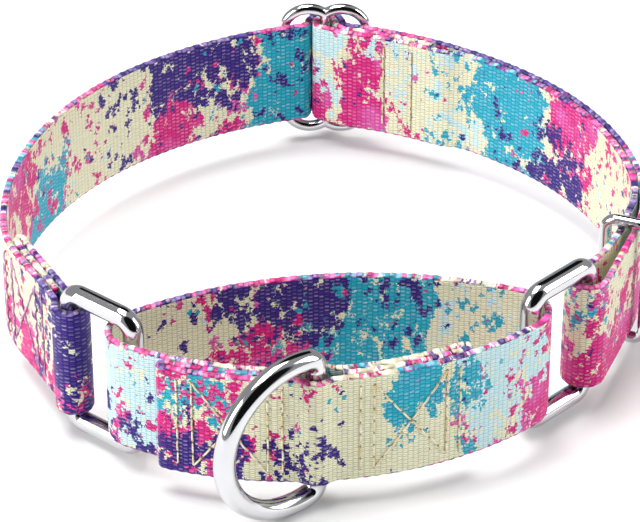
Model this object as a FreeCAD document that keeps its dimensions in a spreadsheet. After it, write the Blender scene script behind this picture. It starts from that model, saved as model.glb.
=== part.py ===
import FreeCAD, Part

import math
import os

import Sketcher
from FreeCAD import Placement, Rotation, Vector

# A martingale collar lying on its edge, as it stands on a table: a neck strap of
# printed webbing, a smaller control loop that tightens it, two rectangular rings
# that join the two, a leash D-ring, an adjuster slide and a keeper.
# Millimetres; +Z up, the table at z = 0, the control loop and D-ring towards -Y.

doc = FreeCAD.newDocument("martingale_collar")

DIMENSIONS = [
    # webbing
    ("webbing_width", 25.0),
    ("webbing_thick", 1.45),
    ("ply_pitch", 1.65),
    ("slack", 0.3),
    ("strap_mid_height", 18.8),
    # neck strap, seen from above: two wide back arcs that meet at the adjuster, then
    # on each side a tighter shoulder and a tighter turn towards the ring
    ("back_radius", 88.6),
    ("back_centre_offset", 15.7),
    ("back_centre_y", -12.6),
    ("left_shoulder_radius", 70.9),
    ("left_shoulder_angle", 129.8),
    ("left_turn_radius", 29.3),
    ("right_shoulder_radius", 66.2),
    ("right_shoulder_angle", 44.4),
    ("right_turn_radius", 46.6),
    ("apex_x", 1.5),
    # control loop, seen from above
    ("left_tip_x", -35.4),
    ("left_tip_y", -44.5),
    ("left_tip_radius", 5.8),
    ("right_tip_x", 38.7),
    ("right_tip_y", -37.5),
    ("right_tip_radius", 6.8),
    ("loop_front_radius", 69.9),
    ("loop_back_radius", 89.8),
    # rectangular rings
    ("ring_wire", 4.3),
    ("ring_height", 30.9),
    ("ring_depth", 16.6),
    ("ring_corner", 3.0),
    ("left_ring_x", -49.1),
    ("left_ring_y", -36.1),
    ("left_ring_heading", -38.8),
    ("right_ring_x", 53.8),
    ("right_ring_y", -26.6),
    ("right_ring_heading", 224.4),
    # leash ring
    ("d_wire", 4.4),
    ("d_bow_radius", 16.6),
    ("d_depth", 22.0),
    ("d_corner", 2.6),
    ("d_heading", 217.0),
    ("d_bar_angle", 274.0),
    # adjuster slide
    ("slide_wire", 2.5),
    ("slide_width", 18.9),
    ("slide_crease_height", 28.3),
    ("slide_lobe_radius", 5.8),
    ("slide_bar_y", 75.06),
    # keeper
    ("keeper_wire", 2.5),
    ("keeper_width", 9.2),
    ("keeper_height", 28.1),
    ("keeper_corner", 2.3),
    ("keeper_angle", -21.0),
    # stitching
    ("thread", 0.5),
    ("stitch", 2.4),
    ("stitch_pitch", 3.1),
    # from the neck strap's plan origin to the middle of the whole collar
    ("plan_shift_x", -1.507),
    ("plan_shift_y", -2.521),
]

sheet = doc.addObject("Spreadsheet::Sheet", "dimensions")
for row, (alias, value) in enumerate(DIMENSIONS, start=1):
    sheet.set("A%d" % row, alias)
    sheet.set("B%d" % row, str(value))
    sheet.setAlias("B%d" % row, alias)
doc.recompute()


def size(alias):
    return float(getattr(sheet, alias))


def cell(alias):
    return "dimensions." + alias


def plan(x, y):
    return Vector(x, y, 0)


def polar(centre, radius, angle):
    """The plan point at this radius and angle (degrees) about a centre."""
    turn = math.radians(angle)
    return centre + Vector(radius * math.cos(turn), radius * math.sin(turn), 0)


def angle_of(centre, point):
    """The angle (degrees) of a plan point seen from a centre."""
    return math.degrees(math.atan2(point.y - centre.y, point.x - centre.x))


def meet(first, first_reach, second, second_reach, side):
    """The point this far from each of two points; side is 1 left of the line between them."""
    line = second - first
    gap = line.Length
    along = (first_reach ** 2 - second_reach ** 2 + gap ** 2) / (2 * gap)
    across = math.sqrt(first_reach ** 2 - along ** 2)
    forward = line / gap
    return first + forward * along + Vector(-forward.y, forward.x, 0) * across * side


THICK = size("webbing_thick")
PITCH = size("ply_pitch")
HALF = THICK / 2
FOLD = PITCH / 2
SLACK = size("slack")
SHIFT = plan(size("plan_shift_x"), size("plan_shift_y"))
STRAP_Z = size("strap_mid_height")
LEFT = 1
RIGHT = -1


# ---------------------------------------------------------------- sub-part helpers

parts = []


def new_body(label):
    body = doc.addObject("PartDesign::Body", label)
    body.Label = label
    parts.append(body)
    return body


def origin_plane(body, role):
    return [item for item in body.Origin.OriginFeatures if item.Role == role][0]


def new_sketch(body, name, role, shapes):
    sketch = body.newObject("Sketcher::SketchObject", name)
    sketch.AttachmentSupport = (origin_plane(body, role), [""])
    sketch.MapMode = "FlatFace"
    for shape in shapes:
        sketch.addGeometry(shape, False)
    return sketch


# ---------------------------------------------------------------- webbing
# A strap's middle line runs round a row of pegs, each a circle with a turning
# sense: LEFT is anticlockwise seen from above, RIGHT is clockwise. Where two pegs
# do not touch, the strap runs straight between them.

# How near to touching two pegs may be before the strap passes straight from one to the other
TOUCHING = 1e-9


def peg(centre, radius, sense):
    return (centre, radius, sense)


def free_end(point):
    return peg(point, 0.0, LEFT)


def right_normals(pegs):
    """The strap's right-hand normal on each stretch between one peg and the next."""
    normals = []
    for (centre, radius, sense), (onward, next_radius, next_sense) in zip(pegs, pegs[1:]):
        line = onward - centre
        share = (sense * radius - next_sense * next_radius) / line.Length
        if abs(share) > 1 - TOUCHING:
            share = round(share)
        turn = math.acos(share)
        forward = line / line.Length
        cos_turn = math.cos(turn)
        sin_turn = math.sin(turn)
        normals.append(Vector(forward.x * cos_turn + forward.y * sin_turn,
                              forward.y * cos_turn - forward.x * sin_turn, 0))
    return normals


def strap_side(pegs, offset):
    """Edges of the line that lies this far to the right of the middle line, and its two ends."""
    normals = right_normals(pegs)
    start = pegs[0][0] + normals[0] * offset
    here = start
    shapes = []
    for index in range(1, len(pegs)):
        centre, radius, sense = pegs[index]
        reach = sense * radius + offset
        arrive = centre + normals[index - 1] * (reach if radius else offset)
        if (arrive - here).Length > 1e-5:
            shapes.append(Part.LineSegment(here, arrive))
        here = arrive
        if radius:
            leave = centre + normals[index] * reach
            ends = [angle_of(centre, arrive), angle_of(centre, leave)]
            if sense == RIGHT:
                ends.reverse()
            circle = Part.Circle(centre, Vector(0, 0, 1), abs(reach))
            shapes.append(Part.ArcOfCircle(circle, math.radians(ends[0]), math.radians(ends[1])))
            here = leave
    return shapes, start, here


def webbing_body(label, pegs):
    """A strap of webbing standing on its edge: its plan outline, padded to the webbing's width."""
    right, right_start, right_end = strap_side(pegs, HALF)
    left, left_start, left_end = strap_side(pegs, -HALF)
    caps = [Part.LineSegment(right_start, left_start), Part.LineSegment(right_end, left_end)]
    body = new_body(label)
    outline = new_sketch(body, label + "_outline", "XY_Plane", right + left + caps)
    pad = body.newObject("PartDesign::Pad", label + "_pad")
    pad.Profile = outline
    pad.setExpression("Length", cell("webbing_width"))
    body.setExpression(".Placement.Base.x", cell("plan_shift_x"))
    body.setExpression(".Placement.Base.y", cell("plan_shift_y"))
    body.setExpression(".Placement.Base.z", cell("strap_mid_height") + " - " + cell("webbing_width") + " / 2")
    return body


# Neck strap. Seen from above it starts at the hem by the left ring, goes round that
# ring, up the left side, out over the adjuster's middle bar, down the right side,
# round the right ring and back inside itself to the adjuster, where it is sewn.

apex_x = size("apex_x")
back_y = size("back_centre_y")
back = size("back_radius")
left_back = plan(apex_x + size("back_centre_offset"), back_y)
right_back = plan(apex_x - size("back_centre_offset"), back_y)
slide_bar = plan(apex_x, size("slide_bar_y"))
left_eye = plan(size("left_ring_x"), size("left_ring_y"))
right_eye = plan(size("right_ring_x"), size("right_ring_y"))
eye = size("ring_wire") / 2 + SLACK + HALF
NECK_FILLET = 6.0

# left side: a triple-thickness seam runs up from the ring and bends with the turn to the hem
SEAM_TURN = 28.9
HEM_ANGLE = 200.0
TAIL_END = 7.0
left_turn = size("left_turn_radius")
seam_out = plan(math.sin(math.radians(SEAM_TURN)), -math.cos(math.radians(SEAM_TURN)))
seam_in = plan(seam_out.y * -1, seam_out.x)


def on_seam(back_from_eye, depth):
    """A point on the left seam: distance back from the ring's bar, layers in from the outside."""
    return left_eye - seam_out * back_from_eye + seam_in * PITCH * (depth - 1)


# the turn's centre lies so that its far end runs into the seam's outer layer
left_shoulder = size("left_shoulder_radius")
left_shoulder_centre = polar(left_back, back - left_shoulder, size("left_shoulder_angle"))
to_line = on_seam(0, 0) + seam_in * left_turn - left_shoulder_centre
across = to_line - seam_out * to_line.dot(seam_out)
turn_reach = math.sqrt((left_shoulder - left_turn) ** 2 - across.Length ** 2)
left_turn_centre = left_shoulder_centre + across - seam_out * turn_reach

fillet_reach = eye + NECK_FILLET
fillet_back = math.sqrt(fillet_reach ** 2 - (NECK_FILLET + PITCH) ** 2)
fillet_inside = left_eye - seam_out * fillet_back + seam_in * (NECK_FILLET + PITCH)
fillet_outside = left_eye - seam_out * fillet_back - seam_in * (NECK_FILLET + PITCH)
hem_centre = polar(left_turn_centre, left_turn - 1.5 * PITCH, HEM_ANGLE)

# the weave over the adjuster's middle bar
WEAVE_TURN = 2.2
wrap = size("slide_wire") / 2 + SLACK + HALF
crest = wrap + PITCH
weave_reach = back + WEAVE_TURN
weave_left = meet(left_back, weave_reach, slide_bar, WEAVE_TURN + crest, LEFT)
weave_right = meet(right_back, weave_reach, slide_bar, WEAVE_TURN + crest, RIGHT)

# right side: the outer ply turns in to a looser eye, which stands off the right ring's bar
TURN_START = 10.6
EXTRA_SLACK = 0.75
LOOSE_EYE = eye + EXTRA_SLACK
EYE_DRIFT = 0.5
EYE_DRIFT_ANGLE = 68.0
EYE_FILLET = 9.0
right_shoulder = size("right_shoulder_radius")
right_shoulder_centre = polar(right_back, back - right_shoulder, size("right_shoulder_angle"))
right_turn = size("right_turn_radius")
right_turn_centre = polar(right_shoulder_centre, right_shoulder - right_turn, TURN_START)
loose_centre = polar(right_eye, EYE_DRIFT, EYE_DRIFT_ANGLE)

# the inner ply leaves the eye on a narrower circle, then closes up to the outer ply
INNER_GAP = 2.9
SPREAD_TURN = 22.0
SPREAD_ANGLE = -14.0
inner_circle = right_turn - INNER_GAP
nested_circle = right_turn - PITCH
eye_inside = meet(right_turn_centre, inner_circle - EYE_FILLET, loose_centre, LOOSE_EYE + EYE_FILLET, LEFT)
spread_start = polar(right_turn_centre, inner_circle + SPREAD_TURN, SPREAD_ANGLE)
spread_end = meet(right_turn_centre, nested_circle - SPREAD_TURN, spread_start, 2 * SPREAD_TURN, LEFT)

# near the adjuster it steps in by one more layer to make room for its own sewn tail
TAIL_LENGTH = 26.0
STEP_TURN = 12.0
STEP_BEFORE_TAIL = 7.0
apex_angle = angle_of(right_back, slide_bar)
tail_angle = apex_angle - math.degrees(TAIL_LENGTH / back)
step_start = polar(right_back, back - PITCH - STEP_TURN, tail_angle - STEP_BEFORE_TAIL)
step_end = meet(right_back, back - 2 * PITCH + STEP_TURN, step_start, 2 * STEP_TURN, LEFT)

webbing_body("neck_webbing", [
    free_end(on_seam(TAIL_END, 1)),
    peg(left_turn_centre, left_turn - PITCH, RIGHT),
    peg(hem_centre, FOLD, RIGHT),
    peg(left_turn_centre, left_turn - 2 * PITCH, LEFT),
    peg(fillet_inside, NECK_FILLET, LEFT),
    peg(left_eye, eye, RIGHT),
    peg(fillet_outside, NECK_FILLET, LEFT),
    peg(left_turn_centre, left_turn, RIGHT),
    peg(left_shoulder_centre, left_shoulder, RIGHT),
    peg(left_back, back, RIGHT),
    peg(weave_left, WEAVE_TURN, LEFT),
    peg(slide_bar, crest, RIGHT),
    peg(weave_right, WEAVE_TURN, LEFT),
    peg(right_back, back, RIGHT),
    peg(right_shoulder_centre, right_shoulder, RIGHT),
    peg(right_turn_centre, right_turn, RIGHT),
    peg(loose_centre, LOOSE_EYE, RIGHT),
    peg(eye_inside, EYE_FILLET, LEFT),
    peg(right_turn_centre, inner_circle, LEFT),
    peg(spread_start, SPREAD_TURN, RIGHT),
    peg(spread_end, SPREAD_TURN, LEFT),
    peg(right_turn_centre, nested_circle, LEFT),
    peg(right_shoulder_centre, right_shoulder - PITCH, LEFT),
    peg(right_back, back - PITCH, LEFT),
    peg(step_start, STEP_TURN, LEFT),
    peg(step_end, STEP_TURN, RIGHT),
    peg(right_back, back - 2 * PITCH, LEFT),
    peg(weave_right, WEAVE_TURN + 2 * PITCH, RIGHT),
    peg(slide_bar, wrap, RIGHT),
    peg(weave_right, WEAVE_TURN + PITCH, LEFT),
    peg(right_back, back - PITCH, RIGHT),
    free_end(polar(right_back, back - PITCH, tail_angle)),
])

# Control loop. One short strap whose two sewn ends overlap in front; each end is
# turned under, and the leash ring's bar lies between the two layers in the middle.

left_tip = plan(size("left_tip_x"), size("left_tip_y"))
right_tip = plan(size("right_tip_x"), size("right_tip_y"))
left_round = size("left_tip_radius")
right_round = size("right_tip_radius")
front = size("loop_front_radius")
outer_front = front + 2 * PITCH
arch = size("loop_back_radius")
front_centre = meet(left_tip, front - left_round, right_tip, outer_front - right_round, LEFT)
arch_centre = meet(left_tip, arch - left_round, right_tip, arch - right_round, RIGHT)
d_bar = polar(front_centre, front + PITCH, size("d_bar_angle"))
pocket = size("d_wire") / 2 + SLACK + HALF
POCKET_FILLET = 5.0
LEFT_HEM = 250.2
LEFT_TAIL = 270.4
RIGHT_TAIL = 278.2
RIGHT_HEM = 298.6


def pocket_fillet(circle, sign, side):
    """Where one layer bends away from its front circle to pass the leash ring's bar."""
    return meet(front_centre, circle + sign * POCKET_FILLET, d_bar, pocket + POCKET_FILLET, side)


webbing_body("control_webbing", [
    free_end(polar(front_centre, front + PITCH, LEFT_TAIL)),
    peg(front_centre, front + PITCH, RIGHT),
    peg(polar(front_centre, front + 1.5 * PITCH, LEFT_HEM), FOLD, LEFT),
    peg(front_centre, outer_front, LEFT),
    peg(pocket_fillet(outer_front, 1, RIGHT), POCKET_FILLET, RIGHT),
    peg(d_bar, pocket, LEFT),
    peg(pocket_fillet(outer_front, 1, LEFT), POCKET_FILLET, RIGHT),
    peg(front_centre, outer_front, LEFT),
    peg(right_tip, right_round, LEFT),
    peg(arch_centre, arch, LEFT),
    peg(left_tip, left_round, LEFT),
    peg(front_centre, front, LEFT),
    peg(pocket_fillet(front, -1, RIGHT), POCKET_FILLET, LEFT),
    peg(d_bar, pocket, RIGHT),
    peg(pocket_fillet(front, -1, LEFT), POCKET_FILLET, LEFT),
    peg(front_centre, front, LEFT),
    peg(polar(front_centre, front + 0.5 * PITCH, RIGHT_HEM), FOLD, RIGHT),
    peg(front_centre, front + PITCH, RIGHT),
    free_end(polar(front_centre, front + PITCH, RIGHT_TAIL)),
])


# ---------------------------------------------------------------- wire hardware
# Each ring is one closed length of round wire. Its outline is drawn upright with
# the first bar's middle at the origin, and the ring then turns about that bar.

def bend(centre_x, centre_z, radius, start, end):
    """A bend in an upright outline, anticlockwise between two angles."""
    circle = Part.Circle(plan(centre_x, centre_z), Vector(0, 0, 1), radius)
    return Part.ArcOfCircle(circle, math.radians(start), math.radians(end))


def rounded_frame(depth, height, corner):
    """A closed upright rectangle with rounded corners."""
    top = height / 2
    far = depth - corner
    straight = top - corner
    return [
        Part.LineSegment(plan(0, 0), plan(0, straight)),
        bend(corner, straight, corner, 90, 180),
        Part.LineSegment(plan(corner, top), plan(far, top)),
        bend(far, straight, corner, 0, 90),
        Part.LineSegment(plan(depth, straight), plan(depth, -straight)),
        bend(far, -straight, corner, -90, 0),
        Part.LineSegment(plan(far, -top), plan(corner, -top)),
        bend(corner, -straight, corner, 180, 270),
        Part.LineSegment(plan(0, -straight), plan(0, 0)),
    ]


def d_ring_outline():
    """A closed upright D: a straight bar, a tight corner at each end and one round bow."""
    bow = size("d_bow_radius")
    corner = size("d_corner")
    bow_x = size("d_depth") - bow
    corner_z = math.sqrt((bow - corner) ** 2 - (bow_x - corner) ** 2)
    meets_bow = angle_of(plan(bow_x, 0), plan(corner, corner_z))
    return [
        Part.LineSegment(plan(0, 0), plan(0, corner_z)),
        bend(corner, corner_z, corner, meets_bow, 180),
        bend(bow_x, 0, bow, -meets_bow, meets_bow),
        bend(corner, -corner_z, corner, 180, 360 - meets_bow),
        Part.LineSegment(plan(0, -corner_z), plan(0, 0)),
    ]


def wire_ring(label, outline, wire, place, heading):
    """Round wire bent along an upright outline, placed and turned about its first bar."""
    body = new_body(label)
    path = new_sketch(body, label + "_path", "XZ_Plane", outline)
    section = new_sketch(body, label + "_section", "XY_Plane",
                         [Part.Circle(plan(0, 0), Vector(0, 0, 1), size(wire) / 2)])
    section.addConstraint(Sketcher.Constraint("Coincident", 0, 3, -1, 1))
    section.addConstraint(Sketcher.Constraint("Radius", 0, size(wire) / 2))
    section.setExpression("Constraints[1]", cell(wire) + " / 2")
    doc.recompute()
    pipe = body.newObject("PartDesign::AdditivePipe", label + "_wire")
    pipe.Profile = section
    pipe.Spine = (path, ["Edge%d" % (number + 1) for number in range(len(outline))])
    body.Placement = Placement(place, Rotation(Vector(0, 0, 1), heading))
    return body


def standing(point, middle_height):
    """Where a piece stands in the collar: a plan point and the height of its middle."""
    return point + SHIFT + Vector(0, 0, middle_height)


def rectangular_ring(label, bar, heading):
    outline = rounded_frame(size("ring_depth"), size("ring_height"), size("ring_corner"))
    return wire_ring(label, outline, "ring_wire", standing(bar, STRAP_Z), heading)


rectangular_ring("left_ring", left_eye, size("left_ring_heading"))
rectangular_ring("right_ring", right_eye, size("right_ring_heading"))

wire_ring("d_ring", d_ring_outline(), "d_wire", standing(d_bar, STRAP_Z), size("d_heading"))

# the keeper's window is centred between the outer ply and the spread inner ply
keeper_middle = right_turn - INNER_GAP / 2
keeper_angle = size("keeper_angle")
keeper_bar = polar(right_turn_centre, keeper_middle - size("keeper_width") / 2, keeper_angle)
keeper_outline = rounded_frame(size("keeper_width"), size("keeper_height"), size("keeper_corner"))
wire_ring("keeper", keeper_outline, "keeper_wire", standing(keeper_bar, STRAP_Z), keeper_angle)


# ---------------------------------------------------------------- adjuster slide
# Two lobes of round wire share the middle bar; above and below it their arches
# meet in a crease.

lobe = size("slide_lobe_radius")
half_width = size("slide_width") / 2
lobe_sweep = 180 - math.degrees(math.acos((half_width - lobe) / lobe))
lobe_height = size("slide_crease_height") / 2 - lobe * math.sin(math.radians(lobe_sweep))
wire_radius = cell("slide_wire") + " / 2"


def upright_bar(name, x, half_length):
    bar = doc.addObject("Part::Cylinder", name)
    bar.setExpression("Radius", wire_radius)
    bar.Height = 2 * half_length
    bar.Placement = Placement(Vector(x, 0, -half_length), Rotation())
    return bar


def lobe_arch(name, quadrant):
    arch_piece = doc.addObject("Part::Torus", name)
    arch_piece.setExpression("Radius1", cell("slide_lobe_radius"))
    arch_piece.setExpression("Radius2", wire_radius)
    arch_piece.Angle3 = lobe_sweep
    upright = Placement(Vector(half_width - lobe, 0, lobe_height), Rotation(Vector(1, 0, 0), 90))
    arch_piece.Placement = Placement(Vector(0, 0, 0), quadrant) * upright
    return arch_piece


def crease_ball(name, height):
    ball = doc.addObject("Part::Sphere", name)
    ball.setExpression("Radius", wire_radius)
    ball.Placement = Placement(Vector(0, 0, height), Rotation())
    return ball


half_crease = size("slide_crease_height") / 2
quadrants = [
    Rotation(),
    Rotation(Vector(0, 0, 1), 180),
    Rotation(Vector(1, 0, 0), 180),
    Rotation(Vector(0, 1, 0), 180),
]
slide_pieces = [
    upright_bar("slide_middle_bar", 0, half_crease),
    upright_bar("slide_left_bar", -half_width, lobe_height),
    upright_bar("slide_right_bar", half_width, lobe_height),
    crease_ball("slide_top_crease", half_crease),
    crease_ball("slide_bottom_crease", -half_crease),
]
for number, quadrant in enumerate(quadrants):
    slide_pieces.append(lobe_arch("slide_arch_%d" % number, quadrant))
adjuster_slide = doc.addObject("Part::MultiFuse", "adjuster_slide")
adjuster_slide.Label = "adjuster_slide"
adjuster_slide.Shapes = slide_pieces
adjuster_slide.Refine = True
adjuster_slide.Placement = Placement(standing(slide_bar, STRAP_Z), Rotation())
parts.append(adjuster_slide)


# ---------------------------------------------------------------- stitching
# A row of stitches follows a face of the webbing. Each stitch is a short length of
# thread lying half sunk in the weave; the needle thread shows on the outside and
# the bobbin thread on the inside.

def front_face(depth):
    """Points on the front overlap: along in degrees round the front, at this many layers in."""
    radius = outer_front - depth * PITCH + (HALF if depth < 1 else -HALF)
    return lambda along, height: polar(front_centre, radius, along) + Vector(0, 0, height)


def seam_face(depth):
    """Points on the left seam: along in millimetres back from the ring's bar."""
    outward = -HALF if depth < 1 else HALF
    return lambda along, height: on_seam(along, depth) + seam_in * outward + Vector(0, 0, height)


def tail_face(radius):
    """Points on the adjuster end: along in degrees clockwise from the adjuster's bar."""
    return lambda along, height: polar(right_back, radius, apex_angle - along) + Vector(0, 0, height)


def stitch_row(face, start, end):
    """Threads in a straight row between two (along, height) places on a face."""
    length = (face(*end) - face(*start)).Length
    count = max(1, round(length / size("stitch_pitch")))
    share = size("stitch") / size("stitch_pitch") / 2
    threads = []
    for number in range(count):
        ends = []
        for step in (number + 0.5 - share, number + 0.5 + share):
            part_way = step / count
            along = start[0] + (end[0] - start[0]) * part_way
            height = start[1] + (end[1] - start[1]) * part_way
            ends.append(face(along, height))
        run = ends[1] - ends[0]
        threads.append(Part.makeCylinder(size("thread") / 2, run.Length, ends[0], run))
    return threads


def seam(label, face, rows):
    threads = []
    for start, end in rows:
        threads.extend(stitch_row(face, start, end))
    feature = doc.addObject("Part::Feature", label)
    feature.Label = label
    feature.Shape = Part.makeCompound(threads)
    feature.Placement = Placement(SHIFT + Vector(0, 0, STRAP_Z), Rotation())
    parts.append(feature)


SEAM_HALF_HEIGHT = 10.2


def box_rows(edges, cross):
    """A box-X: upright rows at these places along, and two diagonals between the cross places."""
    top = SEAM_HALF_HEIGHT
    rows = [((edge, -top), (edge, top)) for edge in edges]
    first, last = cross
    rows.append(((first, -top), (last, top)))
    rows.append(((first, top), (last, -top)))
    return rows


left_box = box_rows([252.6, 255.0, 266.6, 268.8], (255.0, 266.6))
right_box = box_rows([280.6, 282.7, 294.4, 296.6], (282.7, 294.4))
ring_box = box_rows([9.0, 12.0, 23.5, 26.5], (12.0, 23.5))
adjuster_rows = [((along, -SEAM_HALF_HEIGHT), (along, SEAM_HALF_HEIGHT)) for along in (9.7, 14.2)]

OUTERMOST = 0
INNERMOST = 2
seam("left_box_needle_thread", front_face(OUTERMOST), left_box)
seam("left_box_bobbin_thread", front_face(INNERMOST), left_box)
seam("right_box_needle_thread", front_face(OUTERMOST), right_box)
seam("right_box_bobbin_thread", front_face(INNERMOST), right_box)
seam("ring_end_needle_thread", seam_face(OUTERMOST), ring_box)
seam("ring_end_bobbin_thread", seam_face(INNERMOST), ring_box)
seam("adjuster_end_needle_thread", tail_face(back - 2 * PITCH - HALF), adjuster_rows)
seam("adjuster_end_bobbin_thread", tail_face(back - PITCH + HALF), adjuster_rows)


# ---------------------------------------------------------------- checks and files

doc.recompute()
for item in doc.Objects:
    if "Invalid" in item.State or "Error" in item.State:
        raise RuntimeError("%s failed to build: %s" % (item.Label, item.State))
for item in parts:
    if item.Shape.isNull() or not item.Shape.isValid():
        raise RuntimeError("%s has no valid shape" % item.Label)

os.makedirs("parts", exist_ok=True)
for item in parts:
    item.Shape.exportStep("parts/" + item.Label + ".step")

whole = Part.makeCompound([item.Shape for item in parts]).BoundBox
print("box", whole)
print("middle", round(whole.Center.x, 3), round(whole.Center.y, 3))
for name, centre in (("left eye", left_eye), ("right eye", right_eye), ("leash ring bar", d_bar),
                     ("adjuster bar", slide_bar), ("keeper centre", right_turn_centre)):
    print(name, round(centre.x + SHIFT.x, 3), round(centre.y + SHIFT.y, 3))
for item in parts:
    print(item.Label, round(item.Shape.Volume, 1), "mm3 in", len(item.Shape.Solids), "solids")
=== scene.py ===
import math
import random

import bpy
import numpy as np
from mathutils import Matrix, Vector


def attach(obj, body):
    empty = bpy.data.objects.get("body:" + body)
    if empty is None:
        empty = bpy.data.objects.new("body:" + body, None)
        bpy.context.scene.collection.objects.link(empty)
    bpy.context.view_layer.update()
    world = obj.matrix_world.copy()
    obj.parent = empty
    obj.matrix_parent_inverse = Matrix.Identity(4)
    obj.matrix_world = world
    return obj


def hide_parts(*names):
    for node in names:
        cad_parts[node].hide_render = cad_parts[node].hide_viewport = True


# The looks of a martingale collar: two straps of printed webbing with their stitching,
# and the polished wire hardware, on a pale floor under soft light. The scene is in metres.
# The straps are worked out in millimetres and scaled by MM at the end.

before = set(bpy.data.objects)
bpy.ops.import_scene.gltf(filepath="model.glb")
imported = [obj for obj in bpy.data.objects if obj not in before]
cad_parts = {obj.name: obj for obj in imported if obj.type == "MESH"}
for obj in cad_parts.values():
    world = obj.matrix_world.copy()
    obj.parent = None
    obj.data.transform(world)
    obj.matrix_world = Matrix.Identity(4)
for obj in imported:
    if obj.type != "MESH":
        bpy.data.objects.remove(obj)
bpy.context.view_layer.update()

MM = 0.001


# ---------------------------------------------------------------- the straps' plan
# The same pegs as the CAD: a strap's middle line runs round a row of circles, each
# (centre, radius, sense), LEFT being anticlockwise seen from above. Angles are in degrees.

WIDTH = 25.0                # the webbing
THICK = 1.45
PITCH = 1.65                # from one ply to the next where they lie together
SLACK = 0.3                 # between the webbing and the wire inside its bend
STRAP_Z = 18.8              # the middle of the webbing's width
HALF = THICK / 2
FOLD = PITCH / 2            # radius of a hem's fold
SHIFT = np.array([-1.507, -2.521])      # from the pegs' plan to the row frame
LEFT = 1
RIGHT = -1
TOUCHING = 1e-9             # circles this near to touching count as touching
NO_RUN = 1e-6               # a run or a gap to a full turn that is too short to matter
SAME_POINT = 1e-5


def plan(x, y):
    return np.array([float(x), float(y)])


def length(line):
    return math.hypot(line[0], line[1])


def polar(centre, radius, angle):
    turn = math.radians(angle)
    return centre + radius * plan(math.cos(turn), math.sin(turn))


def angle_of(centre, point):
    return math.degrees(math.atan2(point[1] - centre[1], point[0] - centre[0]))


def meet(first, first_reach, second, second_reach, side):
    """Where two circles cross, LEFT or RIGHT of the line from the first to the second."""
    line = second - first
    gap = length(line)
    along = (first_reach ** 2 - second_reach ** 2 + gap ** 2) / (2 * gap)
    across = math.sqrt(first_reach ** 2 - along ** 2)
    forward = line / gap
    return first + forward * along + plan(-forward[1], forward[0]) * across * side


def right_normals(pegs):
    """The direction to the right of each straight run, from one peg to the next."""
    normals = []
    for (centre, radius, sense), (onward, next_radius, next_sense) in zip(pegs, pegs[1:]):
        line = onward - centre
        share = (sense * radius - next_sense * next_radius) / length(line)
        if abs(share) > 1 - TOUCHING:
            share = round(share)
        turn = math.acos(share)
        forward = line / length(line)
        normals.append(plan(forward[0] * math.cos(turn) + forward[1] * math.sin(turn),
                            forward[1] * math.cos(turn) - forward[0] * math.sin(turn)))
    return normals


def middle_line(pegs, step):
    """Points, right-hand normals and arc lengths along a strap's middle line."""
    normals = right_normals(pegs)
    here = pegs[0][0]
    points = [here]
    sides = [normals[0]]
    for index in range(1, len(pegs)):
        centre, radius, sense = pegs[index]
        arrive = centre + normals[index - 1] * sense * radius
        run = length(arrive - here)
        count = max(1, math.ceil(run / step))
        if run > NO_RUN:
            for number in range(1, count + 1):
                points.append(here + (arrive - here) * number / count)
                sides.append(normals[index - 1])
        here = arrive
        if radius:
            start = math.atan2(normals[index - 1][1], normals[index - 1][0])
            sweep = math.atan2(normals[index][1], normals[index][0]) - start
            sweep = sweep % math.tau if sense == LEFT else -((-sweep) % math.tau)
            if math.tau - abs(sweep) < NO_RUN:
                sweep = 0.0
            count = max(1, math.ceil(abs(sweep) * radius / step))
            for number in range(1, count + 1):
                turn = start + sweep * number / count
                side = plan(math.cos(turn), math.sin(turn))
                points.append(centre + side * sense * radius)
                sides.append(side)
            here = points[-1]
    points = np.array(points)
    runs = np.hypot(*np.diff(points, axis=0).T)
    keep = np.concatenate([[True], runs > SAME_POINT])
    along = np.concatenate([[0.0], np.cumsum(runs)])
    return points[keep] + SHIFT, np.array(sides)[keep], along[keep]


# The neck strap, from the slide at its back down both sides to the two rings. BACK, the
# shoulders and the turns are the radii of its arcs.
APEX_X = 1.5
SLIDE_Y = 75.06
SLIDE_WIRE = 2.5
RING_WIRE = 4.3
BACK = 88.6
BACK_OFFSET = 15.7          # the back's two circles lie this far either side of the apex
BACK_Y = -12.6
LEFT_SHOULDER = 70.9
LEFT_SHOULDER_ANGLE = 129.8
LEFT_TURN = 29.3
RIGHT_SHOULDER = 66.2
RIGHT_SHOULDER_ANGLE = 44.4
RIGHT_TURN = 46.6
RIGHT_TURN_ANGLE = 10.6
NECK_FILLET = 6.0
SEAM_TURN = math.radians(28.9)          # the sewn ring end lies this far off the Y axis
SEAM_START = 7.0            # from the ring's bar back to the webbing's cut end
HEM_ANGLE = 200.0
EYE = RING_WIRE / 2 + SLACK + HALF
LOOSE_EYE = EYE + 0.75      # the eye at the right ring is wider, and off its bar's middle
LOOSE_OFFSET = 0.5
LOOSE_ANGLE = 68.0
EYE_FILLET = 9.0
INNER_CIRCLE = RIGHT_TURN - 2.9         # the inner ply beside the right ring
NESTED_CIRCLE = RIGHT_TURN - PITCH      # and where it lies against the outer ply
SPREAD_TURN = 22.0          # between those two it spreads over a pair of bends
SPREAD_ANGLE = -14.0
WEAVE_TURN = 2.2            # where the webbing weaves through the slide
WRAP = SLIDE_WIRE / 2 + SLACK + HALF
CREST = WRAP + PITCH
STEP_TURN = 12.0            # where the returning ply steps inwards to clear the tail's end
STEP_ANGLE = 7.0
TAIL_LENGTH = 26.0          # of the tail, from the slide to its cut end

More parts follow.
